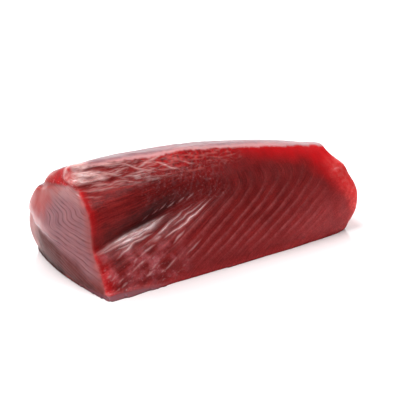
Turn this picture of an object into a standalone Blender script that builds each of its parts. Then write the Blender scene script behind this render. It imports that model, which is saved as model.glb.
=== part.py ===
"""A raw tuna loin: one thick block of fish lying on its flat cut side.

The block starts as a cube sliced into a grid, and each point of the grid is carried onto the loin.  Along the
length it takes its station's cross-section, and round the section it follows four sides: the flat underside, the
leaning cut face in front, and the rounded skin side, whose two halves are the top and the back.
Metres, +Z up.  The length runs along X, from the thick end at -X to the thin end at +X.
"""

import math

import bmesh
import bpy
import numpy as np

MM = 0.001
NAME = "tuna_loin"

# Length of the block between the edges of its ends, in millimetres as all the sizes below. Each list of five
# holds the values at five even stations along it, from the thick end to the thin end.
LENGTH = 260

# The section's corners: the foot of the cut face, the ridge over it, and the heel at the back.
FOOT_Y = (-60, -64, -64, -63, -60)
RIDGE_Y = (-2, -6, -9, -12, -15)
RIDGE_Z = (95, 95, 92, 84, 72)
HEEL_Y = (57, 60, 58, 52, 42)
# The skin side is one curve from the ridge to the heel. Its first handle lies behind the ridge, its second
# stands behind the heel, and both are given as sideways and upward steps.
RIDGE_HANDLE_Y = (40, 46, 48, 44, 36)
RIDGE_HANDLE_Z = (-9, -4, -4, -4, -4)
HEEL_HANDLE_Y = (44, 34, 28, 24, 18)
HEEL_HANDLE_Z = (38, 48, 50, 44, 36)

# How far the cut face stands out from the straight line between foot and ridge.
FACE_FULLNESS = (5, 8, 9, 12, 14)
# The split along the cut face: how high it runs as a share of the face, how deep it is, and how wide the soft
# ledge below it and the steep side above it are, as shares of the face too.
SPLIT_HEIGHT = (0.36, 0.50, 0.59, 0.60, 0.60)
SPLIT_DEPTH = (4, 9, 1, 0, 0)
LEDGE_WIDTH = 0.13
BROW_WIDTH = 0.07
# The belly of flesh that hangs over the split: how far it stands out, how far above the split, and its width.
BELLY = (7, 5, 0, 0, 0)
BELLY_RISE = 0.27
BELLY_WIDTH = 0.15

# The ends: how far each one swells along the length, at what share of the height it swells most (at the front
# and at the back), and how much of the swelling is left at the foot and at the two upright edges.
THICK_END_SWELL = 10
THICK_END_CREST = (0.20, 0.42)
THICK_END_FOOT = 0.6
THICK_END_SIDES = 0.0
THIN_END_SWELL = 17
THIN_END_CREST = (0.30, 0.35)
THIN_END_FOOT = 0.2
THIN_END_SIDES = 0.7
# How fast the swelling of an end fades along the block.
SWELL_FADE = 6

# At the thick end a cap of flesh under the ridge is set back from the rest, less at the front than at the back.
# Its lower line rises from front to back, as shares of the height.
CAP_SETBACK = (2, 8)
CAP_LINE = (0.84, 1.0)
CAP_STEP = 0.06
# The cap's line runs on over the skin side as a notch, which fades along the block.
NOTCH_DEPTH = 3.5
NOTCH_PLACE = 0.38
NOTCH_WIDTH = 0.04
NOTCH_REACH = 0.15
# The middle of the thick end, which the notch is cut towards.
SECTION_HEART = np.array((10.0, 40.0))

# Radius of the cut edges at the thick end and at the thin end.
THICK_END_RIM = 4
THIN_END_RIM = 6

# Cells of the cube along, across and up, and how many of them turn each rounded edge. The middle row of the cut
# face is led along the split, and its neighbours are drawn towards it by this share.
CELLS = (46, 20, 24)
RIM_CELLS = 3
GATHER = 0.45


def at_station(u, values):
    """The smooth curve through the values of the stations, at u from 0 to 1 along the block."""
    step = u * (len(values) - 1)
    index = min(int(step), len(values) - 2)
    before = values[max(index - 1, 0)]
    here = values[index]
    after = values[index + 1]
    beyond = values[min(index + 2, len(values) - 1)]
    f = step - index
    curve = (2 * f**3 - 3 * f**2 + 1) * here + (3 * f**2 - 2 * f**3) * after
    return curve + (f**3 - 2 * f**2 + f) * (after - before) / 2 + (f**3 - f**2) * (beyond - here) / 2


def between(pair, share):
    return pair[0] + (pair[1] - pair[0]) * share


def smooth(share):
    share = min(1.0, max(0.0, share))
    return share * share * (3 - 2 * share)


def mound(away, width):
    return math.exp(-((away / width) ** 2))


def face_point(u, share, foot, ridge):
    """A point of the cut face, share of the way up from the foot to the ridge."""
    run = ridge - foot
    outward = np.array((-run[1], run[0])) / np.linalg.norm(run)
    above_split = share - at_station(u, SPLIT_HEIGHT)
    proud = at_station(u, FACE_FULLNESS) * 4 * share * (1 - share)
    proud += at_station(u, BELLY) * mound(above_split - BELLY_RISE, BELLY_WIDTH)
    proud -= at_station(u, SPLIT_DEPTH) * mound(above_split, LEDGE_WIDTH if above_split < 0 else BROW_WIDTH)
    return foot + run * share + outward * proud


def skin_point(u, share, skin):
    """A point of the skin side, share of the way round from the ridge to the heel."""
    ridge, ridge_handle, heel_handle, heel = skin
    rest = 1 - share
    point = rest**3 * ridge + 3 * rest**2 * share * ridge_handle
    point = point + 3 * rest * share**2 * heel_handle + share**3 * heel
    inward = SECTION_HEART - point
    depth = NOTCH_DEPTH * smooth(1 - u / NOTCH_REACH) * mound(share - NOTCH_PLACE, NOTCH_WIDTH)
    return point + inward / np.linalg.norm(inward) * depth


def section_point(u, across, up):
    """Where a point of the unit square, front to back and bottom to top, lies in the section at u."""
    foot = np.array((at_station(u, FOOT_Y), 0.0))
    heel = np.array((at_station(u, HEEL_Y), 0.0))
    ridge = np.array((at_station(u, RIDGE_Y), at_station(u, RIDGE_Z)))
    ridge_handle = ridge + (at_station(u, RIDGE_HANDLE_Y), at_station(u, RIDGE_HANDLE_Z))
    heel_handle = heel + (at_station(u, HEEL_HANDLE_Y), at_station(u, HEEL_HANDLE_Z))
    skin = (ridge, ridge_handle, heel_handle, heel)
    shoulder = skin_point(u, 0.5, skin)
    bottom = foot + (heel - foot) * across
    top = skin_point(u, across / 2, skin)
    face = face_point(u, up, foot, ridge)
    back = skin_point(u, 1 - up / 2, skin)
    sides = (1 - up) * bottom + up * top + (1 - across) * face + across * back
    corners = (1 - across) * ((1 - up) * foot + up * ridge) + across * ((1 - up) * heel + up * shoulder)
    return sides - corners


def follow_split(u, across, row):
    """Move a row of the grid, from -1 at the bottom to 1 at the top, to bring the middle row into the split."""
    gathered = row - GATHER * math.sin(2 * math.pi * row) / (2 * math.pi)
    lift = 2 * at_station(u, SPLIT_HEIGHT) - 1
    return row + (gathered + lift * (1 - gathered**2) - row) * (1 - across)


def swell(across, up, crest, foot, sides):
    """How far an end swells at a point of its section: 1 at the crest, less towards the edges, 0 at the top."""
    height = between(crest, across)
    if up < height:
        rise = between((foot, 1), math.sin(math.pi / 2 * up / height))
    else:
        rise = 0.5 + 0.5 * math.cos(math.pi * (up - height) / (1 - height))
    return rise * between((sides, 1), 4 * across * (1 - across))


def end_relief(u, across, up):
    """How far a point moves along X for the swelling of the two ends and the set-back cap."""
    thick = swell(across, up, THICK_END_CREST, THICK_END_FOOT, THICK_END_SIDES) * THICK_END_SWELL
    thin = swell(across, up, THIN_END_CREST, THIN_END_FOOT, THIN_END_SIDES) * THIN_END_SWELL
    above_line = (up - between(CAP_LINE, across)) / CAP_STEP
    cap = between(CAP_SETBACK, across) * smooth(above_line + 0.5)
    return (cap - thick) * (1 - u) ** SWELL_FADE + thin * u**SWELL_FADE


def round_edges(point):
    """Space the grid for the rounded edges and round them, in the cube's own -1 to 1 measures."""
    u = (point[0] + 1) / 2
    rim = THICK_END_RIM + (THIN_END_RIM - THICK_END_RIM) * u * u
    depth = at_station(u, HEEL_Y) - at_station(u, FOOT_Y)
    kept = []
    reach = []
    rims = []
    for axis, size in enumerate((LENGTH, depth, at_station(u, RIDGE_Z))):
        low = 2 * (THICK_END_RIM if axis == 0 else rim) / size
        high = 2 * (THIN_END_RIM if axis == 0 else rim) / size
        turn = 2 * RIM_CELLS / CELLS[axis]
        place = np.interp(point[axis], (-1, -1 + turn, 1 - turn, 1), (-1, -1 + low, 1 - high, 1))
        kept.append(min(max(place, -1 + low), 1 - high))
        rims.append(low if place < 0 else high)
        reach.append((place - kept[axis]) / rims[axis])
    sideways = math.hypot(reach[1], reach[2])
    if reach[1] > 0 and reach[2] > 0:
        # The shoulder, where the top and the back meet, is no cut edge: the skin runs over it unbroken.
        sideways = max(reach[1], reach[2])
    whole = max(math.hypot(reach[0], sideways), 1.0)
    return [kept[axis] + reach[axis] * rims[axis] / whole for axis in range(3)]


def carry(point):
    """Carry a point of the sliced cube onto the loin."""
    along, back, row = round_edges(point)
    u = (along + 1) / 2
    across = (back + 1) / 2
    up = (follow_split(u, across, row) + 1) / 2
    y, z = section_point(u, across, up)
    x = LENGTH / 2 * along + end_relief(u, across, up)
    return x * MM, y * MM, z * MM


def sliced_cube():
    """A cube from -1 to 1 whose faces are cut into the grid of cells."""
    cube = bmesh.new()
    bmesh.ops.create_cube(cube, size=2.0)
    for axis, cells in enumerate(CELLS):
        along = [edge for edge in cube.edges if abs(edge.verts[0].co[axis] - edge.verts[1].co[axis]) > 1.0]
        bmesh.ops.subdivide_edges(cube, edges=along, cuts=cells - 1, use_grid_fill=True)
    return cube


def centre_on_base(cube):
    """Move the block so that the origin is the centre of its box's bottom."""
    corners = np.array([vert.co for vert in cube.verts])
    lows = corners.min(axis=0)
    highs = corners.max(axis=0)
    base = ((lows[0] + highs[0]) / 2, (lows[1] + highs[1]) / 2, lows[2])
    bmesh.ops.translate(cube, verts=cube.verts, vec=[-value for value in base])


def flesh_material():
    material = bpy.data.materials.new("raw_tuna")
    material.use_nodes = True
    shader = material.node_tree.nodes["Principled BSDF"]
    shader.inputs["Base Color"].default_value = (0.27, 0.024, 0.026, 1)
    shader.inputs["Roughness"].default_value = 0.35
    shader.inputs["Metallic"].default_value = 0.0
    return material


def loin(collection):
    cube = sliced_cube()
    for vert in cube.verts:
        vert.co = carry(vert.co)
    centre_on_base(cube)
    bmesh.ops.recalc_face_normals(cube, faces=cube.faces)
    mesh = bpy.data.meshes.new(NAME)
    cube.to_mesh(mesh)
    cube.free()
    mesh.shade_smooth()
    mesh.materials.append(flesh_material())
    collection.objects.link(bpy.data.objects.new(NAME, mesh))


def build():
    for old in list(bpy.data.objects):
        bpy.data.objects.remove(old, do_unlink=True)
    collection = bpy.data.collections.new("raw_tuna_loin")
    bpy.context.scene.collection.children.link(collection)
    loin(collection)


build()
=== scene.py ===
"""A raw tuna loin block on a pale floor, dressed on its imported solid.

The block is one piece. Its solid gives the form, and this script lays on it the muscle layers, the split with
its wet membranes, the wrinkled roll over the thick end and the rings of the end cut, and finishes the flesh.
"""

import math

import bpy
import numpy as np
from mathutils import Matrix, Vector, noise


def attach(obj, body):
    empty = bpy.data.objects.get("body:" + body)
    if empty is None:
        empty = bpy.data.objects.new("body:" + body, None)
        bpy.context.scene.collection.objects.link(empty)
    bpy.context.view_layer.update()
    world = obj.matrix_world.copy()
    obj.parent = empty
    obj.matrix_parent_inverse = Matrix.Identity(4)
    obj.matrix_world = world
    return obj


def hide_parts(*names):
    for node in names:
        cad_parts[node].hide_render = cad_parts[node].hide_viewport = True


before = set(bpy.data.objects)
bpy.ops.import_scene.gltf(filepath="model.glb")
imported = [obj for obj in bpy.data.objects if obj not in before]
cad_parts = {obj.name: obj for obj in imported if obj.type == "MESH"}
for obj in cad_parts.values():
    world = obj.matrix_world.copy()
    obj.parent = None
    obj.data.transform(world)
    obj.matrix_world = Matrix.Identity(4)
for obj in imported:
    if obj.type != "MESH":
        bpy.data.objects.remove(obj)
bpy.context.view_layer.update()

# ----------------------------------------------------------------------------------------------------------
# Studio: a long lens looks down on the block from its thick end. A white floor lies under a big soft light
# that stands a little behind the block, so that the top and the ledges shine and the cut face stays deep red.
# ----------------------------------------------------------------------------------------------------------
CAMERA_AZIMUTH = -34.4
CAMERA_ELEVATION = 21.2
CAMERA_DISTANCE = 0.992
CAMERA_AIM = Vector((0.0051, 0.0052, 0.0325))
CAMERA_LENS = 99
SENSOR_WIDTH = 36
FLOOR_SIZE = 12
FLOOR_WHITE = (0.90, 0.84, 0.845, 1)
ROOM_WHITE = (1, 1, 1, 1)
ROOM_LIGHT = 0.2
OVERHEAD_POWER = 3.9
OVERHEAD_SPREAD = 46
OVERHEAD_LEAN_BACK = -25
OVERHEAD_LEAN_LEFT = -13
AREA_LIGHTS = (
    # Name, place, height of the point that it faces, width, depth and power.
    ("backdrop", (0.9, 1.7, 0.75), 0.1, 3.0, 1.4, 28),
    ("softbox", (0.66, -0.92, 1.89), 0.05, 0.6, 0.6, 14),
)

camera_data = bpy.data.cameras.new("camera")
camera_data.lens = CAMERA_LENS
camera_data.sensor_width = SENSOR_WIDTH
camera = bpy.data.objects.new("camera", camera_data)
bpy.context.scene.collection.objects.link(camera)
turn = math.radians(CAMERA_AZIMUTH)
tilt = math.radians(CAMERA_ELEVATION)
towards_camera = Vector((math.sin(turn) * math.cos(tilt), -math.cos(turn) * math.cos(tilt), math.sin(tilt)))
camera.location = CAMERA_AIM + towards_camera * CAMERA_DISTANCE
camera.rotation_euler = towards_camera.to_track_quat("Z", "Y").to_euler()
bpy.context.scene.camera = camera
bpy.context.scene.view_settings.view_transform = "Standard"

bpy.ops.object.select_all(action="DESELECT")
bpy.ops.mesh.primitive_plane_add(size=FLOOR_SIZE)
floor = bpy.context.active_object
floor.name = "floor"
floor_paint = bpy.data.materials.new("floor_white")
floor_paint.use_nodes = True
floor_shader = floor_paint.node_tree.nodes["Principled BSDF"]
floor_shader.inputs["Base Color"].default_value = FLOOR_WHITE
floor_shader.inputs["Roughness"].default_value = 0.15
floor_shader.inputs["Specular IOR Level"].default_value = 0.5
floor.data.materials.append(floor_paint)

world = bpy.data.worlds.new("studio")
bpy.context.scene.world = world
world.use_nodes = True
world.node_tree.nodes["Background"].inputs["Color"].default_value = ROOM_WHITE
world.node_tree.nodes["Background"].inputs["Strength"].default_value = ROOM_LIGHT

overhead_data = bpy.data.lights.new("overhead", "SUN")
overhead_data.energy = OVERHEAD_POWER
overhead_data.angle = math.radians(OVERHEAD_SPREAD)
overhead = bpy.data.objects.new("overhead", overhead_data)
overhead.rotation_euler = (math.radians(OVERHEAD_LEAN_BACK), math.radians(OVERHEAD_LEAN_LEFT), 0)
bpy.context.scene.collection.objects.link(overhead)

for light_name, spot, aim_height, width, depth, power in AREA_LIGHTS:
    lamp_data = bpy.data.lights.new(light_name, "AREA")
    lamp_data.shape = "RECTANGLE"
    lamp_data.size = width
    lamp_data.size_y = depth
    lamp_data.energy = power
    lamp = bpy.data.objects.new(light_name, lamp_data)
    lamp.location = spot
    lamp.rotation_euler = (Vector((0, 0, aim_height)) - lamp.location).to_track_quat("-Z", "Y").to_euler()
    lamp.visible_camera = False
    bpy.context.scene.collection.objects.link(lamp)

# ----------------------------------------------------------------------------------------------------------
# The block: one solid piece of wet flesh, cut with a long knife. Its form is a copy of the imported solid, with
# the facets smoothed into soft flesh. The mesh is finer where the flesh is wrinkled: on the thick half of the
# cut face, the roll over it and the end cut. Every later section adds to this one mesh.
# ----------------------------------------------------------------------------------------------------------
MM = 0.001
GRAIN = 1.65 * MM
WELD = 0.02 * MM
FINE_ZONE_END = 20
FINE_ZONE_BACK = 8
FINE_ZONE_FOOT = 2
FINE_END_CUT = -122
BROAD_WAVES = 0.45
SMALL_WAVES = 0.15

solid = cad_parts["tuna_loin"]
loin = bpy.data.objects.new("loin_block", solid.data.copy())
bpy.context.scene.collection.objects.link(loin)
bpy.ops.object.select_all(action="DESELECT")
bpy.context.view_layer.objects.active = loin
loin.select_set(True)
bpy.ops.object.mode_set(mode="EDIT")
bpy.ops.mesh.select_all(action="SELECT")
bpy.ops.mesh.remove_doubles(threshold=WELD)
bpy.ops.mesh.tris_convert_to_quads()
bpy.ops.object.mode_set(mode="OBJECT")
rounding = loin.modifiers.new("rounding", "SUBSURF")
rounding.levels = 1
rounding.render_levels = 1
bpy.ops.object.modifier_apply(modifier=rounding.name)
grain = loin.modifiers.new("grain", "REMESH")
grain.mode = "VOXEL"
grain.voxel_size = GRAIN
bpy.ops.object.modifier_apply(modifier=grain.name)


def soften(passes):
    """Smooths the facets of the mesh, the more so with more passes."""
    softening = loin.modifiers.new("softening", "SMOOTH")
    softening.factor = 0.5
    softening.iterations = passes
    bpy.ops.object.modifier_apply(modifier=softening.name)


def rows_of(elements, field):
    """The three numbers that each element of a mesh holds in a field."""
    values = np.empty(3 * len(elements))
    elements.foreach_get(field, values)
    return values.reshape(-1, 3)


soften(8)
loin.data.materials.clear()
flesh_mesh = loin.data
centre_x, centre_y, centre_z = rows_of(flesh_mesh.polygons, "center").T / MM
fine = (centre_x < FINE_ZONE_END) & (centre_y < FINE_ZONE_BACK)
fine = (fine | (centre_x < FINE_END_CUT)) & (centre_z > FINE_ZONE_FOOT)
bpy.ops.object.mode_set(mode="EDIT")
bpy.ops.mesh.select_mode(type="FACE")
bpy.ops.mesh.select_all(action="DESELECT")
bpy.ops.object.mode_set(mode="OBJECT")
flesh_mesh.polygons.foreach_set("select", fine)
bpy.ops.object.mode_set(mode="EDIT")
bpy.ops.mesh.subdivide(number_cuts=1, ngon=False, quadcorner="STRAIGHT_CUT")
bpy.ops.object.mode_set(mode="OBJECT")
soften(6)

# Places and depths are in millimetres from here on: x runs along the block from the thick end, y runs back to
# the skin side, and z runs up. The three are views of place. The relief is how far the flesh stands out.
place = rows_of(flesh_mesh.vertices, "co") / MM
facing = rows_of(flesh_mesh.vertex_normals, "vector")
x, y, z = place.T
facing_x, facing_y, facing_z = facing.T
relief = np.zeros(len(x))


def ramp(value, low, high):
    """0 below low, 1 above high and a smooth rise between them, or a fall where low is the greater."""
    share = np.clip((value - low) / (high - low), 0, 1)
    return share * share * (3 - 2 * share)


def unevenness(a, b, size, seed):
    """Smooth noise between -1 and 1 over a and b, with lumps of one size, or of a size for each of them."""
    size_a, size_b = size if isinstance(size, tuple) else (size, size)
    seeds = np.broadcast_to(seed, a.shape)
    return np.array([noise.noise(Vector(spot)) for spot in zip(a / size_a, b / size_b, seeds)])


# The sides of the block. The cut face lies in front of the ridge line, and the skin side lies behind it.
ridge = np.interp(x, (-133, 127), (-6, -19))
bottom = ramp(-facing_z, 0.5, 0.85)
thick_end = ramp(-facing_x, 0.45, 0.75) * (1 - bottom)
thin_end = ramp(facing_x, 0.5, 0.8) * (1 - bottom)
long_sides = (1 - bottom) * (1 - thick_end) * (1 - thin_end)
cut_face = ramp(ridge - y, -3, 3) * long_sides
skin_side = ramp(y - ridge, -3, 3) * long_sides
over_foot = long_sides * ramp(z + 4 * unevenness(x, y, 13, 505.0), 1, 7)

# The flesh as a whole is a little uneven.
relief += BROAD_WAVES * unevenness(x, y, 26, z / 26) + SMALL_WAVES * unevenness(x, y, 9, z / 9)

# ----------------------------------------------------------------------------------------------------------
# Muscle layers: the flesh is made of nested layers with a pale line between each two. On the cut face the
# lines come down from the ridge, swing towards the thick end and run out low along the split. The layers are
# wide at the thin end and crowd together at the split.
# ----------------------------------------------------------------------------------------------------------
LAYER_BEND_HEIGHT = 64
LAYER_BEND_ROUNDING = 15
LAYER_PLACES = (
    -44, -38, -32, -26, -20, -14, -8.5, -3, 4, 15, 28, 44, 57, 72, 86, 101, 116, 131, 146, 161, 176, 200
)
LAYER_RELIEF = 0.14
HALVINGS = 24
SPLIT_LINE_X = (-134, -119, -95, -79, -60, -45, -29, -10)
SPLIT_LINE_Z = (31.5, 38, 43, 47, 54, 59, 63, 68)

wobble_x = x + 1.1 * unevenness(x, z, 14, 3.1) + 0.5 * unevenness(x, z, 5, 7.3)
wobble_z = z + 0.7 * unevenness(x, z, 14, 11.7)
below_bend = LAYER_BEND_HEIGHT - wobble_z

# Which layer a place belongs to is found by halving, because the lean of a line depends on the layer.
low = np.full(len(x), -400.0)
high = np.full(len(x), 400.0)
for _ in range(HALVINGS):
    middle = (low + high) / 2
    lean = np.where(below_bend < 0, 0.9, np.interp(middle, (-20, -8, -3, 20), (3.8, 2.8, 2.4, 1.9)))
    swing = wobble_x + np.sqrt(LAYER_BEND_ROUNDING**2 + (lean * below_bend) ** 2) - LAYER_BEND_ROUNDING
    low = np.where(swing > middle, middle, low)
    high = np.where(swing > middle, high, middle)
layer_place = (low + high) / 2
layers = np.interp(layer_place, LAYER_PLACES, np.arange(len(LAYER_PLACES)))

split_z = np.interp(x, SPLIT_LINE_X, SPLIT_LINE_Z)
over_split = ramp(z - split_z, -1, 2) * ramp(x, 5, -25)
layer_strength = cut_face * (1 - over_split) * ramp(z, 6, 20) * ramp(z, 74, 38)
layer_strength *= ramp(x, 112, 80) * (1 - 0.45 * ramp(x, 35, 85))
layer_strength *= 0.75 + 0.5 * unevenness(x, z, 9, 21.0) + 0.4 * unevenness(x, z, 3, 23.0)
layer_strength = np.clip(layer_strength, 0, 1)
relief += LAYER_RELIEF * np.cos(2 * np.pi * layers) * layer_strength

# ----------------------------------------------------------------------------------------------------------
# The split: two groups of muscle part here. The belly of flesh above hangs over a crease darkened with painted
# shade, and below it the torn membranes of the layers lie on the ledge as pale wet streaks, partly painted
# highlight, that fan out towards the thin end.
# ----------------------------------------------------------------------------------------------------------
CREASE = [(-130, 33), (-119, 38.5), (-94, 43), (-79, 46), (-60, 53), (-45, 58.5), (-29, 62.5)]
CREASE_WIDTH = 2.9
CREASE_DEPTH = 1.3
STREAK_RELIEF = 0.34
STREAKS = [
    # Points along the streak, half its width, and how much of it is bare pale membrane with painted highlight.
    ([(-133, 31), (-118, 35), (-100, 38.2), (-86, 40.6), (-74, 43.4), (-57, 48.6)], 1.9, 1.0),
    ([(-110, 38), (-96, 39.4), (-80, 42), (-66, 46), (-54, 49.5)], 0.7, 0.8),
    ([(-132, 30.5), (-118, 33), (-104, 35.2), (-90, 37.4), (-76, 40.6)], 0.9, 1.0),
    ([(-114, 31), (-102, 33.4), (-88, 35.6), (-76, 38.6)], 0.6, 0.6),
    ([(-117, 25.5), (-108, 29), (-98, 33.5), (-88, 36.7)], 0.8, 0.6),
    ([(-92, 30.4), (-77, 36), (-65.8, 40.4), (-45, 48.4), (-33, 53)], 0.6, 0.55),
    ([(-73, 32.8), (-63.8, 36.2), (-48, 40.9), (-32, 46.9), (-16.4, 54.1)], 0.7, 0.65),
    ([(-60, 40), (-46, 44.6), (-30, 50.4), (-18, 55.6)], 0.45, 0.4),
    ([(-66, 28), (-58, 32.6), (-49, 37.6)], 0.7, 0.5),
    ([(-83, 33), (-77, 34.5), (-71, 35.5)], 1.8, 0.3),
    ([(-98, 24), (-88, 28.4), (-78, 31.5)], 0.7, 0.5),
    ([(-90, 13.3), (-81.6, 17.9)], 0.7, 0.45),
    ([(-95.7, 9), (-87.5, 12.8)], 0.7, 0.45),
    ([(-79.9, 9.7), (-62.5, 19.6)], 0.6, 0.5),
    ([(-119, 5.2), (-111, 8.9)], 0.8, 0.55),
    ([(-108, 14), (-98, 19.5), (-90, 23)], 0.6, 0.4),
    ([(-56, 18), (-44, 24.5), (-36, 28)], 0.7, 0.4),
    ([(-84, 47), (-76, 52)], 0.5, 0.3),
    ([(-74, 50.5), (-66, 55.5)], 0.5, 0.4),
    ([(-66, 53), (-59, 57.5)], 0.6, 0.45),
    ([(-58, 52.5), (-50, 58)], 0.6, 0.45),
    ([(-48, 55), (-40, 60)], 0.6, 0.4),
    ([(-40, 56), (-31, 62)], 0.6, 0.4),
]


def band(value, width):
    """1 where the value is 0, with a soft fall to both sides of it."""
    return np.exp(-((value / width) ** 2))


def stroke(a, b, points, width):
    """The soft line through the points: 1 along it, fading beyond half its width, thinner at its two ends."""
    points = np.array(points, dtype=float)
    steps = np.linalg.norm(np.diff(points, axis=0), axis=1)
    nearest = np.full(len(a), 1e6)
    share = np.zeros(len(a))
    walked = 0
    for start, end, step in zip(points[:-1], points[1:], steps):
        run = (end - start) / step
        along = np.clip((a - start[0]) * run[0] + (b - start[1]) * run[1], 0, step)
        away = np.hypot(a - start[0] - along * run[0], b - start[1] - along * run[1])
        share = np.where(away < nearest, (walked + along) / steps.sum(), share)
        nearest = np.minimum(away, nearest)
        walked += step
    thin = np.sin(np.pi * np.clip(share, 0.03, 0.97)) ** 0.9
    return thin * band(nearest, width * (0.25 + 0.75 * thin))


front_x = x + 0.8 * unevenness(x, z, 8, 31.0)
front_z = z + 0.6 * unevenness(x, z, 7, 41.0)
# The crease is sunk and darkened with painted shade; the streaks are pale membrane with painted highlight.
crease = stroke(front_x, front_z, CREASE, CREASE_WIDTH) * cut_face
relief -= CREASE_DEPTH * crease
membrane_and_highlight = np.zeros(len(x))
filaments = ramp(unevenness(x, z - 0.34 * x, (14, 0.85), 45.0), -0.3, 0.25)
for points, width, bareness in STREAKS:
    streak = stroke(front_x, front_z, points, width) * cut_face * (0.8 + 0.4 * filaments)
    relief += STREAK_RELIEF * min(width, 1.2) * streak * ramp(x, -132, -100)
    membrane_and_highlight = np.maximum(membrane_and_highlight, bareness * streak)

# ----------------------------------------------------------------------------------------------------------
# The belly and the lobe: above the split the belly shows fine fibres along its length, and the flesh over the
# end of the split is pitted. Below it the lobe is mottled with patches of membrane.
# ----------------------------------------------------------------------------------------------------------
ROLL_LINE_X = (-134, -110, -80, -50, -20, 20, 60, 127)
ROLL_LINE_Z = (81.5, 82.5, 83.5, 84.5, 84, 83, 82, 74)
FIBRES_ACROSS = 40
FIBRE_RELIEF = 0.1
PIT_RELIEF = 0.28
PATCH_RELIEF = 0.3
CRUMPLE_RELIEF = 0.22

roll_z = np.interp(x, ROLL_LINE_X, ROLL_LINE_Z) + 1.2 * unevenness(x, 0 * x, 12, 111.0)
fan = FIBRES_ACROSS * (front_z - split_z) / (roll_z - split_z) + 1.5 * unevenness(x, z, (25, 12), 51.0)
fibre_wave = unevenness(x, fan, (30, 1), 61.0)
fibre_strength = cut_face * over_split * ramp(z, 84, 78) * ramp(x, -25, -60)
relief += FIBRE_RELIEF * fibre_wave * fibre_strength

pits = unevenness(x, z, (2.6, 2.1), 71.0)
pitted = cut_face * ramp(x, -95, -60) * ramp(x, 12, -15) * ramp(z, 48, 58) * ramp(z, 88, 80)
relief += PIT_RELIEF * pits * pitted

lobe = cut_face * (1 - over_split) * ramp(x, -45, -75) * ramp(z, 1, 6) * ramp(z, 34, 27)
lobe_mottle = unevenness(x, z, (10, 9), 81.0)
patches = ramp(lobe_mottle + 0.35 * unevenness(x, z, 3.5, 91.0), -0.25, 0.5)
crumple = unevenness(x + 0.5 * z, z - 0.5 * x, (5.5, 1.9), 101.0)
relief += lobe * (PATCH_RELIEF * patches + CRUMPLE_RELIEF * crumple)
# The glints on the crumpled lobe are painted highlights: pale spots with a wet coat.
glints = lobe * ramp(z, 27, 22) * ramp(crumple + 0.25 * patches, 0.35, 0.75)
glints *= ramp(unevenness(x, z, (11, 9), 105.0), -0.15, 0.2)

# ----------------------------------------------------------------------------------------------------------
# The roll: the skin side's membrane wraps over the ridge as a roll with a fold under it, pale and wrinkled
# over the thick end. It thins out along the ridge and ends in a net of fine lines.
# ----------------------------------------------------------------------------------------------------------
SKIN_EDGE_X = (-134, -117, -80, -60, -40, -24, -7, 6, 31, 62, 96, 127)
SKIN_EDGE_Z = (90, 92.2, 92.8, 91.5, 92, 91.3, 89, 88, 84.6, 80.2, 74.8, 69.5)
ROLL_RELIEF = 1.1
THREAD_RELIEF = 0.12
RIDGE_RELIEF = 0.3
WEB_RELIEF = 0.25
FOLD_DEPTH = 0.6
RIDGES = [
    # Points along the small ridge of the roll, half its width, and how pale it is.
    ([(-124, 91.2), (-117, 91.7), (-111, 92.4), (-101, 91.8), (-93, 91.9), (-80, 92.3)], 1.0, 0.9),
    ([(-120, 88.4), (-109, 87.9), (-105, 86.8), (-99, 84.9), (-91, 83.6)], 0.9, 0.8),
    ([(-131, 78.5), (-124, 77.8), (-118, 77.7), (-110, 77.6), (-104, 78.1), (-96, 78)], 0.6, 0.7),
    ([(-132, 74.3), (-126, 74.4), (-121, 73.7), (-113, 74.1)], 0.6, 0.3),
    ([(-120, 81), (-112, 80.8), (-104, 80.2)], 1.3, 0.55),
    ([(-103, 83.5), (-96, 85.9), (-92, 87.3), (-83, 88.8)], 0.7, 0.6),
    ([(-106, 80.4), (-99, 81), (-91, 80.6), (-86, 79.9), (-79, 78.6)], 0.5, 0.5),
    ([(-94, 82.5), (-88, 83.3), (-82, 83.6), (-77, 82.7), (-68, 80.8)], 0.5, 0.6),
    ([(-78, 86.6), (-69, 88.4), (-61, 90.2), (-53, 91.3), (-46, 92)], 0.8, 1.0),
    ([(-94, 91.6), (-84, 90.5), (-80, 88.5), (-75, 86.4), (-70, 84.9), (-60, 82.5)], 0.6, 0.8),
    ([(-62, 90), (-55, 87.9), (-50, 85.3), (-45, 83), (-35, 79.8)], 0.7, 0.9),
    ([(-37, 87), (-30, 84.5), (-26, 82.4), (-19, 82)], 0.6, 0.5),
    ([(-72, 88), (-64, 85.4), (-57, 84)], 0.5, 0.4),
    ([(-48, 88), (-40, 86.4), (-33, 87.6)], 0.5, 0.4),
]
FOLDS = [
    # Points along the fold, and half its width.
    ([(-124, 90.1), (-118, 90.4), (-112, 91), (-107, 91), (-102, 89.7), (-99, 87.5), (-96, 86)], 0.9),
    ([(-136, 79.6), (-129, 80.5), (-123, 80.3), (-118, 79.4)], 1.7),
    ([(-108, 83.6), (-103, 82.2), (-96, 82.6)], 1.1),
    ([(-82, 90.6), (-74, 89.4), (-66, 90.8)], 0.7),
]

# The skin starts at an edge just in front of the ridge and covers all that lies behind it.
over_ridge = (1 - bottom) * (1 - thin_end) * ramp(z, 70, 76) * ramp(y - ridge, 14, 4)
skin_edge = np.interp(x, SKIN_EDGE_X, SKIN_EDGE_Z)
skin_edge += 0.9 * unevenness(x, 0 * x, 9, 221.0) + 0.6 * unevenness(x, 0 * x, 3, 223.0)
behind = ramp(y - ridge, 2, 12)
skin = np.maximum(ramp(z - skin_edge, -0.7, 0.7), ramp(y - ridge, 3, 8)) * over_foot
skin *= behind + (1 - behind) * ramp(x + 2 * unevenness(y, z, 3, 225.0), -134, -128)
skin_back = ramp(y - ridge, 1, 10)
wrap = z + 0.7 * (y - ridge)
skin_in = wrap - skin_edge + 0.8 * unevenness(x, y, (5, 2), 231.0)

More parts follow.
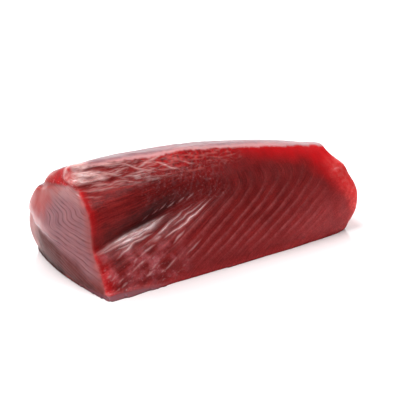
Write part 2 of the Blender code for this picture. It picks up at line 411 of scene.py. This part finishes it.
# The roll is thickest over the thick end, where its wrinkles and threads run along it.
threads = unevenness(x, wrap, (6, 0.9), 117.0) + 0.6 * unevenness(x, wrap, (11, 1.3), 118.0)
crumpled = 0.9 * unevenness(x / 16 + 0.12 * wrap, wrap / 5, 1, 119.0)
crumpled += 0.3 * unevenness(x, wrap, (9, 1.4), 121.0)
lump_end = x + 0.9 * (z - 82) + 4 * unevenness(x, z, (6, 5), 115.0)
lump = ramp(lump_end, -97, -112) * ramp(z - roll_z, -0.5, 0.8) * over_ridge
relief += ROLL_RELIEF * over_ridge * ramp(z - roll_z, -0.8, 0.9) * ramp(x, -75, -110)
relief += THREAD_RELIEF * threads * over_ridge * ramp(x, 0, -50) * ramp(z, 74, 79)
relief += over_ridge * crumpled * (0.7 * lump + 0.35 * ramp(z, 78, 82) * ramp(x, 40, 0))

# The film is bare over the lump and torn into threads beyond it. It lies on the ridges, not in the folds.
torn_film = 0.5 * over_ridge * ramp(crumpled + 0.8 * threads, -0.25, 0.8) * ramp(z - skin_edge, 0.5, -2)
torn_film *= ramp(x, -20, -70) * ramp(z, 75, 82)
film = np.maximum(lump * (0.35 + 0.65 * ramp(crumpled + 0.4 * threads, -0.5, 0.1)), torn_film)
for points, width, paleness in RIDGES:
    mark = stroke(front_x, front_z, points, width) * over_ridge * (0.75 + 0.6 * threads)
    relief += RIDGE_RELIEF * min(width, 0.8) * mark
    film = np.maximum(film, np.clip(paleness * mark, 0, 1))
webbed = over_ridge * ramp(x, -60, -30) * ramp(x, 38, 12) * ramp(z, 74, 79) * ramp(z - skin_edge, 0.5, -0.5)
web_patches = unevenness(x + 1.2 * z, wrap, (8, 3), 125.0) + 0.4 * unevenness(x, wrap, (2.5, 2), 127.0)
pale_patches = webbed * ramp(web_patches, 0.0, 0.5)
relief += WEB_RELIEF * pale_patches
fold = np.zeros(len(x))
for points, width in FOLDS:
    mark = stroke(front_x, front_z, points, width) * over_ridge
    relief -= FOLD_DEPTH * mark
    fold = np.maximum(fold, mark)
film_end = x - 0.25 * (z - 85) + 2.5 * unevenness(y, z, 4, 129.0)
film *= (1 - 0.9 * fold) * (0.12 + 0.88 * ramp(film_end, -134, -129))

# ----------------------------------------------------------------------------------------------------------
# The skin side: where the skin was pulled off, a thin grey-pink membrane still covers the flesh. The seams
# between the muscle layers cross under it in shallow zigzags, and red flesh shows where the membrane is thin.
# ----------------------------------------------------------------------------------------------------------
SEAM_GAP = 10.5
SEAM_DEPTH = 0.35
MEMBRANE_RELIEF = 0.1
TOP_WRINKLES = 0.4

seam_x = x + 2.2 * unevenness(x, z, 15, 511.0) + 0.6 * unevenness(x, z, 4, 513.0)
seams = (seam_x + np.interp(z, (0, 14, 34, 66, 84, 96), (8, 15, 0, 15, 6, 0))) / SEAM_GAP
seam_strength = skin_side * skin_back * ramp(z, 92, 80) * (0.55 + 0.6 * unevenness(x, z, 16, 515.0))
seam_strength = np.clip(seam_strength, 0, 1)
relief -= SEAM_DEPTH * seam_strength * band(seams - np.round(seams), 0.1)
relief += MEMBRANE_RELIEF * unevenness(x, wrap, (14, 1.8), 517.0) * skin * skin_back
relief += TOP_WRINKLES * unevenness(x, wrap, (8, 5), 519.0) * over_foot * ramp(z, 84, 90)
thinness = unevenness(x, z, (22, 9), 521.0) + 0.5 * unevenness(x, z, (8, 3), 523.0)
thin_skin = skin_back * ramp(thinness, -0.1, 0.8)

# ----------------------------------------------------------------------------------------------------------
# The end cut: rings of muscle seen end on, pale between dark lines, the paleness partly a painted sheen, over a
# darker strip that rolls under at the heel. Above the rings a cap of red flesh with a painted clear red glow is
# set back, and it pales towards the skin side.
# ----------------------------------------------------------------------------------------------------------
RING_DEPTH = 0.16
CAP_GROOVE = 0.9
CREST_HEIGHT = 1.4
CAP_SWELLING = 2.8
HEEL_SWELLING = 1.9

# The rings are three sets of lines that pass into one another: flat at the top, upright, and sloping below.
end_y = y + 0.9 * unevenness(y, z, 16, 151.0)
end_z = z + 1.0 * unevenness(y, z, 13, 161.0) + 0.15 * unevenness(y, z, 4, 165.0)
ring_top = -1 + (end_z - 61 - 0.17 * end_y) / 3.6
ring_side = -(end_y + 18) / 6
ring_slope = np.interp(end_z, (5, 20, 30, 60), (0.4, 0.28, 0.16, 0.12))
ring_foot = (end_z - ring_slope * (end_y + 33) - 54) / 4.2
rings = np.log(np.exp(3 * ring_top) + np.exp(3 * ring_side)) / 3
rings = -np.log(np.exp(-3 * rings) + np.exp(-3 * ring_foot)) / 3

cap_line = np.interp(y, (-24, -11, 7, 26, 44), (77, 78.5, 74.5, 69.5, 62))
above_cap_line = ramp(z - cap_line + 0.8 * unevenness(y, z, 4, 405.0), -0.5, 2.5)
above_cap_line *= 1 - 0.8 * ramp(y + 5 * unevenness(y, z, (6, 5), 407.0), 13, 27)
cap = thick_end * above_cap_line
end_cut = thick_end * (1 - above_cap_line)
crest_line = np.interp(y, (-44, -28, 4, 44, 56), (18, 26, 29, 31.5, 36)) + 1.5 * unevenness(y, z, 9, 177.0)
dark_strip = thick_end * ramp(crest_line - z, 0, np.interp(y, (-30, 20), (12, 3)))

ring_strength = end_cut * (0.1 + 0.9 * ramp(y, 30, 8)) * ramp(y, 50, 34) * ramp(z - cap_line, -6, -14)
ring_strength *= 0.7 + 0.7 * unevenness(y, z, 9, 171.0)
ring_strength *= 1 + 0.6 * unevenness(np.round(rings), 0 * x, 1, 173.0)
ring_strength = np.clip(ring_strength, 0, 1)
relief -= RING_DEPTH * ring_strength * band(rings - np.round(rings), 0.2)

# Painted highlight: the crest over the dark strip catches the light, and so does the back edge of the cut above
# the heel; both are painted pale.
crest_shine = 0.85 * band(z - crest_line - 4.5, 4.5) * ramp(y, -4, 34)
crest_shine = np.maximum(crest_shine, 0.55 * ramp(y, 44, 56) * ramp(z, 30, 42) * ramp(z, 62, 50)) * thick_end
crest = thick_end * ramp(z - crest_line, -1, 3) * ramp(z - crest_line, 24, 6) * ramp(y, -10, 25)
relief += CREST_HEIGHT * crest - CAP_GROOVE * thick_end * band(z - cap_line, 1.6)
relief += CAP_SWELLING * band(y - 26, 14) * band(z - 73, 7) * ramp(x, -116, -127)
relief += HEEL_SWELLING * band(y - 60, 10) * band(z - 19, 18) * ramp(x, -100, -125)

# The end cut blushes towards the skin side and is palest under the cap.
end_blush = thick_end * ramp(y + 0.5 * (z - 50) + 6 * unevenness(y, z, 9, 245.0), 8, 36) * ramp(z, 28, 50)
end_top = thick_end * ramp(z - cap_line, -13, -4) * ramp(y, 34, 18)

# ----------------------------------------------------------------------------------------------------------
# The thin end: the narrower end of the block, a soft rounded cut. It shows the layers end on as a few wide
# arcs, and its front corner has a low shoulder with a dip over it.
# ----------------------------------------------------------------------------------------------------------
THIN_RING_GAP = 6.5
THIN_RING_RELIEF = 0.15
SHOULDER_SWELLING = 2.2

thin_rings = np.hypot(end_y + 12, 1.15 * (end_z - 6)) / THIN_RING_GAP
thin_ring_strength = ramp(facing_x, 0.75, 0.95) * (x > 0)
thin_ring_strength *= np.clip(0.65 + 0.5 * unevenness(y, z, 10, 175.0), 0, 1)
relief += THIN_RING_RELIEF * thin_ring_strength * np.cos(2 * np.pi * thin_rings)
shoulder = band(x - 128, 9) * band(z - 53, 5.5) - 0.55 * band(x - 125, 9) * band(z - 65.5, 5)
relief += SHOULDER_SWELLING * shoulder * ramp(x, 106, 120)

# ----------------------------------------------------------------------------------------------------------
# Painted glow: light gets into the block at its edges, so the flesh is painted a bright clear red along the
# upright edge of the thick end, under the ridge of the thin half and round the thin end, and more weakly along
# the rest of the ridge and on the cap.
# ----------------------------------------------------------------------------------------------------------
edge_reach = np.interp(z, (0, 35, 60, 80), (11, 7, 7, 7)) * (1 + 0.5 * unevenness(z, x, 6, 181.0))
ridge_z = np.interp(x, (-134, -67, 0, 63, 127), (95, 95, 92, 84, 72))
under_ridge = ramp(z - ridge_z + 3 * unevenness(x, z, 14, 191.0), -19, -4)
thin_corner = x + 0.9 * (z - 60) + 6 * unevenness(x, z, 12, 201.0)
painted_glow = np.maximum.reduce([
    0.68 * cut_face * band(x + 134, edge_reach),
    cut_face * ramp(x, 5, 45) * under_ridge,
    0.75 * cut_face * ramp(x, -95, -45) * under_ridge * ramp(pits, -0.6, 0.3),
    0.3 * cut_face * ramp(z, 60, 80) * ramp(x, -45, 0),
    0.92 * cut_face * ramp(thin_corner, 84, 116),
    0.78 * over_ridge * ramp(x, -126, -131),
    thin_end * (0.4 + 0.5 * ramp(facing_x, 0.98, 0.85)),
    0.45 * cap * (1 + 0.6 * unevenness(y, z, 4, 403.0)),
])

# Along the rims: a painted highlight on the bent edge of the thick end, a paler strip beside it, and a painted
# glow of bright red round the thin end's edge.
edge_highlight = band(facing_x + 0.65, 0.27) * ramp(ridge - y, -4, 4) * (1 - bottom) * ramp(x, -128, -132)
edge_highlight *= (0.6 + 0.5 * unevenness(y, z, 4, 241.0)) * (0.3 + 0.7 * ramp(z - cap_line, 6, 1))
edge_y = np.interp(z, (5, 25, 35, 45, 60, 78), (-51, -49, -42, -38, -37, -24))
edge_blush = thick_end * (0.4 + 0.6 * ramp(z, 5, 40)) * ramp(y - edge_y, 6, -1)
edge_blush *= 0.7 + 0.4 * unevenness(y, z, (5, 7), 243.0)
rim_start = x + 0.35 * (z - 40) + 4 * unevenness(x / 7 + y / 9, z / 7, 1, 251.0)
thin_end_rim_glow = ramp(rim_start, 112, 126) * ramp(z, 66, 56) * (1 - bottom) * ramp(facing_x, 0.97, 0.8)
thin_end_rim_glow *= 0.35 + 0.65 * ramp(unevenness(x / 3 + y / 5, z / 2.5, 1, 261.0), -0.3, 0.3)

# The flesh is milky at the skin side of the cap. Low down on the cut face the milky pink is painted light from
# the pale floor.
floor_lit_foot = 0.6 * ramp(z, 40, 8) + ramp(x, 30, 100) * ramp(z, 62, 30)
floor_lit_foot *= 0.8 + 0.4 * unevenness(x, z, 8, 271.0)
milkiness_and_floor_light = 1.6 * cap * ramp(y, -10, 20) + cut_face * floor_lit_foot

# Painted shade and light: the flesh is darkened in the hollow over the split, where shade falls, and in a few
# places higher up the cut face, and lightened low down, where the pale floor lights it, and towards the thin
# end.
shade_and_tone = 1 - 0.35 * over_split * ramp(z - split_z, 22, 2) * ramp(x, -40, -80)
shade_and_tone -= 0.15 * cut_face * ramp(x, -110, -60) * ramp(z, 40, 60)
shade_and_tone -= 0.3 * cut_face * stroke(x, z, [(-128, 42), (-80, 53), (-50, 62), (-12, 70)], 9)
shade_and_tone -= 0.07 * cut_face * ramp(z, 20, 55) * ramp(x, -40, -10)
shade_and_tone -= 0.18 * cut_face * ramp(z, 60, 72) * ramp(z, 86, 76) * ramp(x, -22, 6) * ramp(x, 75, 45)
shade_and_tone += cut_face * (0.32 * ramp(z, 45, 5) + 0.35 * ramp(x, 30, 90) * ramp(z, 60, 20))
shade_and_tone += 0.16 * ramp(x, 100, 125) * ramp(z, 80, 60)
shade_and_tone += 0.3 * ramp(z, 6, 1) * cut_face + 0.5 * ramp(z, 3, 0.5) * ramp(ridge - y, 0, 10)

# It is mottled too, and no two layers are quite alike.
shade_and_tone += lobe * (0.5 * lobe_mottle - 0.06)
shade_and_tone += 0.12 * unevenness(x, z, 7, 211.0) * cut_face
shade_and_tone += 0.09 * unevenness(np.floor(layers), 0 * x, 1, 215.0) * layer_strength

# Painted highlights: small flecks catch the light at the edges and over the pitted flesh, painted pale.
painted_sparkle = np.maximum.reduce([
    0.35 * lobe * ramp(z, 30, 10),
    0.6 * cap,
    0.25 * pitted,
    0.7 * painted_glow * ramp(x, -115, -130) * ramp(z, 40, 15),
    0.45 * thin_end_rim_glow * ramp(facing_x, 0.95, 0.7) * ramp(z, 58, 44),
])
blotch_mottle = unevenness(x - 0.8 * z, z + 0.6 * x, (3.4, 8), 301.0)
blotch_mottle += 0.4 * unevenness(x, z, (2, 2.4), 303.0)
blotches = pitted * ramp(blotch_mottle, -0.1, 0.8)

# Bare membrane, film, glints and the crest are the wettest.
end_shine = end_cut * (1 - dark_strip)
wet = np.maximum.reduce([membrane_and_highlight, 0.5 * film, glints, crest_shine, 0.2 * end_shine, 0.15 * painted_glow])

# ----------------------------------------------------------------------------------------------------------
# The foot: the block lies by its own weight on its flat cut side, so the soft flesh sags out over the floor
# with a small round edge, and a thin lip runs out over the floor at the front corner of the thick end as a
# sheet of painted pink shadow. The thin end bulges a little halfway up, and its foot is cut back at the front.
# ----------------------------------------------------------------------------------------------------------
SAG = 2.4
FRONT_SAG = 3.6
LIP_REACH = 5
THIN_END_BULGE = 2.0
THIN_END_CUT_BACK = 6.5
FOOT_SINK = 1.3
LOWEST = 0.05

bulge = THIN_END_BULGE * ramp(x, 108, 124) * band(z - 34, 12) * ramp(y, 10, -30)
cut_back = THIN_END_CUT_BACK * ramp(x, 104, 134) * ramp(z, 18, 0) * ramp(y, -5, -45)
sag = SAG * ramp(z, 6, 0.8) * (1 - thick_end)
foot = ramp(z, 2.6, 0.9) * ramp(-facing_y, 0.02, 0.2) * (1 - thin_end)
# The lip is a thin sheet of flesh coloured as painted pink shadow on the floor.
shadow_lip = np.maximum(ramp(-facing_y, 0.05, 0.2), ramp(-facing_x, 0.3, 0.6) * ramp(y, -36, -48))
shadow_lip *= ramp(z, 3.4, 1.2) * ramp(x, -66, -128)
place += facing * relief[:, None]
place[:, 0] += bulge - cut_back
place[:, 1] -= (FRONT_SAG * foot + LIP_REACH * shadow_lip) * (1 - 0.2 * cut_back)
place[:, :2] += facing[:, :2] * sag[:, None]
place[:, 2] = np.maximum(place[:, 2] - FOOT_SINK * ramp(z, 4, 0.8), LOWEST)
flesh_mesh.vertices.foreach_set("co", (place * MM).ravel())
flesh_mesh.update()

# Each finish follows where the flesh is, so its measures are kept on the mesh under plain names. As views of
# place, x, y and z have moved with the flesh, so what is worked out here is for the flesh as it now lies.
heel = thick_end * ramp(y + 0.25 * z + 5 * unevenness(y, z, 8, 507.0), 38, 56)
# Painted shade along the foot of the end cut.
end_foot_shade = ramp(z, 8, 3.2) * ramp(-facing_x, 0.1, 0.4) * ramp(y, -56, -46)
on_end = thick_end > 0.5
on_skin = skin * skin_side > 0.5
on_belly = over_split > 0.5
across_belly = fan + np.clip(y - ridge + 14, 0, 40)
measures = {
    "layers": layers,
    "layer_strength": layer_strength,
    "membrane_and_highlight": membrane_and_highlight,
    "film": film,
    "patches": lobe * patches,
    "glints": glints,
    "crease": crease,
    "fold": fold,
    "rings": np.where(x > 0, thin_rings, rings),
    "ring_strength": ring_strength,
    "thin_ring_strength": thin_ring_strength,
    "seams": seams,
    "seam_strength": seam_strength,
    "thin_skin": thin_skin,
    "skin": skin,
    "skin_back": skin_back,
    "skin_paleness": ramp(x, -120, 40),
    "skin_turn": ramp(skin_in, 0.5, 4),
    "skin_edge_highlight": ramp(skin_in, 2, -2) * ramp(x, 95, 60),
    "webbed": webbed,
    "pale_patches": pale_patches,
    "end_cut": end_cut,
    "end_top": end_top,
    "end_blush": end_blush,
    "end_foot_shade": end_foot_shade,
    "dark_strip": dark_strip,
    "heel": heel,
    "crest_shine": crest_shine,
    "painted_glow": painted_glow,
    "edge_highlight": edge_highlight,
    "edge_blush": edge_blush,
    "thin_end_rim_glow": thin_end_rim_glow,
    "milkiness_and_floor_light": milkiness_and_floor_light,
    "shadow_lip": shadow_lip,
    "painted_sparkle": painted_sparkle,
    "blotches": blotches,
    "fibres": fibre_strength * ramp(fibre_wave, 0.0, 0.5),
    "grain_across": np.select([on_end, on_skin, on_belly], [2.4 * rings, wrap, across_belly], layer_place),
    "grain_along": np.select([on_end, on_belly | on_skin], [0.8 * (end_z - end_y), x], z),
    "shade_and_tone": shade_and_tone,
    "wet": wet,
}

for measure_name, values in measures.items():
    attribute = flesh_mesh.attributes.new(measure_name, "FLOAT", "POINT")
    attribute.data.foreach_set("value", np.asarray(values, dtype=np.float32))

# ----------------------------------------------------------------------------------------------------------
# The finish of the flesh: deep red and wet, with light scattered under the surface. The colours are laid one
# over another: the cut face, then the skin side, the end cut, the roll and the bare membranes.
# ----------------------------------------------------------------------------------------------------------
DEEP_RED = (0.15, 0.007, 0.008)
RED = (0.21, 0.012, 0.013)
FIBRE_RED = (0.36, 0.026, 0.024)
FIBRE_SHADE = (0.09, 0.004, 0.004)
GLOW_RED = (0.64, 0.004, 0.008)
LAYER_LINE = (0.42, 0.10, 0.10)
PATCH = (0.40, 0.10, 0.115)
MILKY_AND_FLOOR_LIGHT = (0.34, 0.07, 0.075)
BLOTCH = (0.30, 0.10, 0.11)
WEB_PATCH = (0.62, 0.13, 0.12)
SKIN_FILM_AND_SHEEN = (0.31, 0.14, 0.155)
SKIN_PALE = (0.44, 0.265, 0.28)
SKIN_GREY = (0.19, 0.105, 0.12)
SKIN_TURN = (0.20, 0.11, 0.125)
SKIN_EDGE_HIGHLIGHT = (0.78, 0.36, 0.365)
FLESH_UNDER_SKIN = (0.30, 0.05, 0.06)
END_FLESH_AND_SHEEN = (0.31, 0.135, 0.155)
END_PALE = (0.46, 0.22, 0.22)
END_BLUSH = (0.40, 0.065, 0.06)
END_LINE = (0.17, 0.055, 0.065)
END_FOOT_SHADE = (0.05, 0.012, 0.010)
THIN_END_RIM_GLOW = (0.62, 0.07, 0.065)
DARK_STRIP_RED = (0.095, 0.008, 0.006)
DARK_STRIP_STREAK = (0.15, 0.022, 0.018)
HEEL = (0.48, 0.22, 0.215)
EDGE_BLUSH = (0.44, 0.11, 0.105)
EDGE_HIGHLIGHT = (0.70, 0.19, 0.18)
FOLD_SHADE = (0.20, 0.006, 0.007)
FILM = (0.78, 0.45, 0.43)
FILM_SPECK = (0.55, 0.16, 0.14)
SHADE = (0.05, 0.004, 0.004)
MEMBRANE_AND_HIGHLIGHT = (0.84, 0.44, 0.44)
SHADOW_LIP_PINK = (0.24, 0.08, 0.095)
WHITE = (1.0, 1.0, 1.0)

flesh = bpy.data.materials.new("raw_tuna_flesh")
flesh.use_nodes = True
nodes = flesh.node_tree.nodes
links = flesh.node_tree.links
shader = nodes["Principled BSDF"]
shader.inputs["IOR"].default_value = 1.35
shader.inputs["Specular IOR Level"].default_value = 0.15
shader.inputs["Coat Roughness"].default_value = 0.14
shader.inputs["Subsurface Weight"].default_value = 0.35
shader.inputs["Subsurface Radius"].default_value = (1, 0.15, 0.1)
shader.inputs["Subsurface Scale"].default_value = 0.005


def named(name):
    """A measure of the mesh by its name."""
    node = nodes.new("ShaderNodeAttribute")
    node.attribute_name = name
    return node.outputs["Fac"]


def mixed(share, first, second):
    """Mixes two colours, each of them a colour or the output of a node."""
    node = nodes.new("ShaderNodeMix")
    node.data_type = "RGBA"
    links.new(share, node.inputs["Factor"])
    for socket, value in ((node.inputs["A"], first), (node.inputs["B"], second)):
        if isinstance(value, tuple):
            socket.default_value = (*value, 1)
        else:
            links.new(value, socket)
    return node.outputs["Result"]


def calculated(operation, *values):
    """What one operation makes of numbers and the outputs of nodes."""
    node = nodes.new("ShaderNodeMath")
    node.operation = operation
    for socket, value in zip(node.inputs, values):
        if isinstance(value, (int, float)):
            socket.default_value = value
        else:
            links.new(value, socket)
    return node.outputs[0]


def times(first, second):
    """The product of two numbers or outputs."""
    return calculated("MULTIPLY", first, second)


def ramped(value, *stops):
    """A grey ramp through the stops, each a place and a brightness."""
    node = nodes.new("ShaderNodeValToRGB")
    elements = node.color_ramp.elements
    while len(elements) < len(stops):
        elements.new(0.5)
    for element, (position, brightness) in zip(elements, stops):
        element.position = position
        element.color = (brightness, brightness, brightness, 1)
    links.new(value, node.inputs["Fac"])
    return node.outputs["Color"]


coordinates = nodes.new("ShaderNodeTexCoord").outputs["Object"]


def clouds(scale, detail=3.0, distortion=0.0, spot=coordinates):
    """Soft grey noise, on the object's own coordinates where no others are given."""
    node = nodes.new("ShaderNodeTexNoise")
    node.inputs["Scale"].default_value = scale
    node.inputs["Detail"].default_value = detail
    node.inputs["Distortion"].default_value = distortion
    links.new(spot, node.inputs["Vector"])
    return node.outputs["Fac"]


# The red flesh: strands along the grain, pale lines between the layers, and a painted glow of clear red at the
# edges.
broad = ramped(clouds(40), (0.35, 0.0), (0.65, 1.0))
speckle = clouds(420, 2.0)
grain_place = nodes.new("ShaderNodeCombineXYZ")
links.new(times(named("grain_across"), 1.3), grain_place.inputs["X"])
links.new(times(named("grain_along"), 0.07), grain_place.inputs["Y"])
strands = clouds(1.0, 3.0, spot=grain_place.outputs["Vector"])
colour = mixed(broad, DEEP_RED, RED)
colour = mixed(ramped(strands, (0.42, 0.0), (0.7, 0.6)), colour, FIBRE_RED)
colour = mixed(ramped(strands, (0.3, 0.4), (0.46, 0.0)), colour, FIBRE_SHADE)
colour = mixed(times(named("fibres"), 0.6), colour, FIBRE_RED)
layer_part = calculated("FRACT", named("layers"))
layer_line = ramped(layer_part, (0.0, 0.7), (0.1, 0.4), (0.4, 0.0), (0.8, 0.0), (1.0, 0.7))
colour = mixed(times(layer_line, named("layer_strength")), colour, LAYER_LINE)
colour = mixed(times(named("patches"), 0.62), colour, PATCH)
# Milky pink, which low down on the cut face is painted light from the floor.
colour = mixed(times(named("milkiness_and_floor_light"), 0.25), colour, MILKY_AND_FLOOR_LIGHT)
colour = mixed(named("painted_glow"), colour, GLOW_RED)
ring_part = calculated("FRACT", calculated("ADD", named("rings"), 0.5))
ring_line = ramped(ring_part, (0.28, 0.0), (0.47, 1.0), (0.53, 1.0), (0.72, 0.0))
colour = mixed(times(ring_line, times(named("thin_ring_strength"), 0.6)), colour, LAYER_LINE)
colour = mixed(times(named("blotches"), 0.4), colour, BLOTCH)
# The thin end's rim is painted with a glow of bright red.
colour = mixed(times(named("thin_end_rim_glow"), 0.8), colour, THIN_END_RIM_GLOW)

# The net of fine lines and pale patches along the ridge.
web_place = nodes.new("ShaderNodeVectorMath")
web_place.operation = "MULTIPLY"
web_place.inputs[1].default_value = (0.7, 1.0, 1.3)
links.new(coordinates, web_place.inputs[0])
web = clouds(150, 1.5, 0.3, spot=web_place.outputs["Vector"])
web_line = ramped(web, (0.45, 0.0), (0.5, 1.0), (0.55, 0.0))
colour = mixed(times(times(web_line, named("webbed")), 0.1), colour, FILM)
colour = mixed(times(named("pale_patches"), 0.6), colour, WEB_PATCH)

# The red flesh is scaled by its painted shade and light and by its tone that differs from place to place, with
# a fine mottle that is weaker where glow is painted and on the web of fine lines.
mottle = ramped(clouds(700, 2.0), (0.3, 0.82), (0.7, 1.18))
glow_and_webbed = calculated("MAXIMUM", named("painted_glow"), named("webbed"))
mottle = mixed(times(glow_and_webbed, 0.75), mottle, WHITE)
shaded_and_toned = nodes.new("ShaderNodeVectorMath")
shaded_and_toned.operation = "SCALE"
links.new(colour, shaded_and_toned.inputs[0])
links.new(times(named("shade_and_tone"), mottle), shaded_and_toned.inputs["Scale"])
colour = shaded_and_toned.outputs["Vector"]

# The skin side is pale and pink at its edge, its pale film partly a painted sheen, with a painted highlight
# along the edge; it is greyer where it turns over the ridge, and grey behind.
skin_colour = mixed(named("skin_paleness"), SKIN_FILM_AND_SHEEN, SKIN_PALE)
skin_colour = mixed(times(named("skin_turn"), 0.7), skin_colour, SKIN_TURN)
skin_colour = mixed(times(named("skin_edge_highlight"), 0.8), skin_colour, SKIN_EDGE_HIGHLIGHT)
skin_colour = mixed(named("skin_back"), skin_colour, SKIN_GREY)
skin_colour = mixed(times(named("thin_skin"), 0.4), skin_colour, FLESH_UNDER_SKIN)
seam_part = calculated("FRACT", named("seams"))
seam_line = ramped(seam_part, (0.0, 1.0), (0.07, 0.3), (0.25, 0.0), (0.75, 0.0), (1.0, 1.0))
skin_colour = mixed(times(seam_line, times(named("seam_strength"), 0.45)), skin_colour, SKIN_PALE)
skin_colour = mixed(ramped(strands, (0.5, 0.0), (0.8, 0.16)), skin_colour, SKIN_PALE)
colour = mixed(times(named("skin"), 0.95), colour, skin_colour)

# The end cut: pale flesh, partly a painted sheen, with dark ring lines, the blush, the dark strip with its
# heel, and the paler rim at its front edge; then painted shade along its foot and a painted highlight on its
# bent edge.
end_colour = mixed(named("end_top"), END_FLESH_AND_SHEEN, END_PALE)
end_colour = mixed(ramped(strands, (0.48, 0.0), (0.7, 0.5)), end_colour, END_PALE)
end_colour = mixed(ramped(strands, (0.28, 0.55), (0.46, 0.0)), end_colour, END_LINE)
end_colour = mixed(named("end_blush"), end_colour, END_BLUSH)
strip_colour = mixed(ramped(strands, (0.42, 0.0), (0.62, 0.8)), DARK_STRIP_RED, DARK_STRIP_STREAK)
end_colour = mixed(named("dark_strip"), end_colour, mixed(named("heel"), strip_colour, HEEL))
end_colour = mixed(times(ring_line, named("ring_strength")), end_colour, END_LINE)
end_colour = mixed(times(named("edge_blush"), 0.6), end_colour, EDGE_BLUSH)
colour = mixed(named("end_cut"), colour, end_colour)
colour = mixed(times(named("end_foot_shade"), 0.8), colour, END_FOOT_SHADE)
colour = mixed(times(named("edge_highlight"), 0.7), colour, EDGE_HIGHLIGHT)

# The folds of the roll in painted shade and its pale film, then the crease in painted shade, the bare membranes
# with painted highlight, the crest, glints and flecks as painted highlights, and the lip as painted pink
# shadow.
colour = mixed(times(named("fold"), 0.8), colour, FOLD_SHADE)
colour = mixed(times(named("film"), ramped(strands, (0.34, 0.45), (0.5, 1.0))), colour, FILM)
colour = mixed(times(named("film"), ramped(speckle, (0.35, 0.35), (0.5, 0.0))), colour, FILM_SPECK)
colour = mixed(named("crease"), colour, SHADE)
colour = mixed(named("membrane_and_highlight"), colour, MEMBRANE_AND_HIGHLIGHT)
colour = mixed(times(named("crest_shine"), 0.6), colour, MEMBRANE_AND_HIGHLIGHT)
colour = mixed(times(named("glints"), 0.4), colour, MEMBRANE_AND_HIGHLIGHT)
sparkle_spot = ramped(clouds(520, 2.0), (0.6, 0.0), (0.72, 0.55))
colour = mixed(times(sparkle_spot, named("painted_sparkle")), colour, MEMBRANE_AND_HIGHLIGHT)
colour = mixed(ramped(named("shadow_lip"), (0.0, 0.0), (0.3, 1.0)), colour, SHADOW_LIP_PINK)
links.new(colour, shader.inputs["Base Color"])

# The wet coat, an uneven gloss, and a fine raised grain that follows the strands.
links.new(named("wet"), shader.inputs["Coat Weight"])
wetness = ramped(clouds(150), (0.3, 0.42), (0.7, 0.28))
links.new(wetness, shader.inputs["Roughness"])
bump = nodes.new("ShaderNodeBump")
bump.inputs["Strength"].default_value = 0.25
bump.inputs["Distance"].default_value = 0.0004
links.new(calculated("ADD", speckle, times(strands, 0.8)), bump.inputs["Height"])
links.new(bump.outputs["Normal"], shader.inputs["Normal"])

loin.data.materials.append(flesh)
for polygon in loin.data.polygons:
    polygon.use_smooth = True

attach(loin, "root")
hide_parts("tuna_loin")
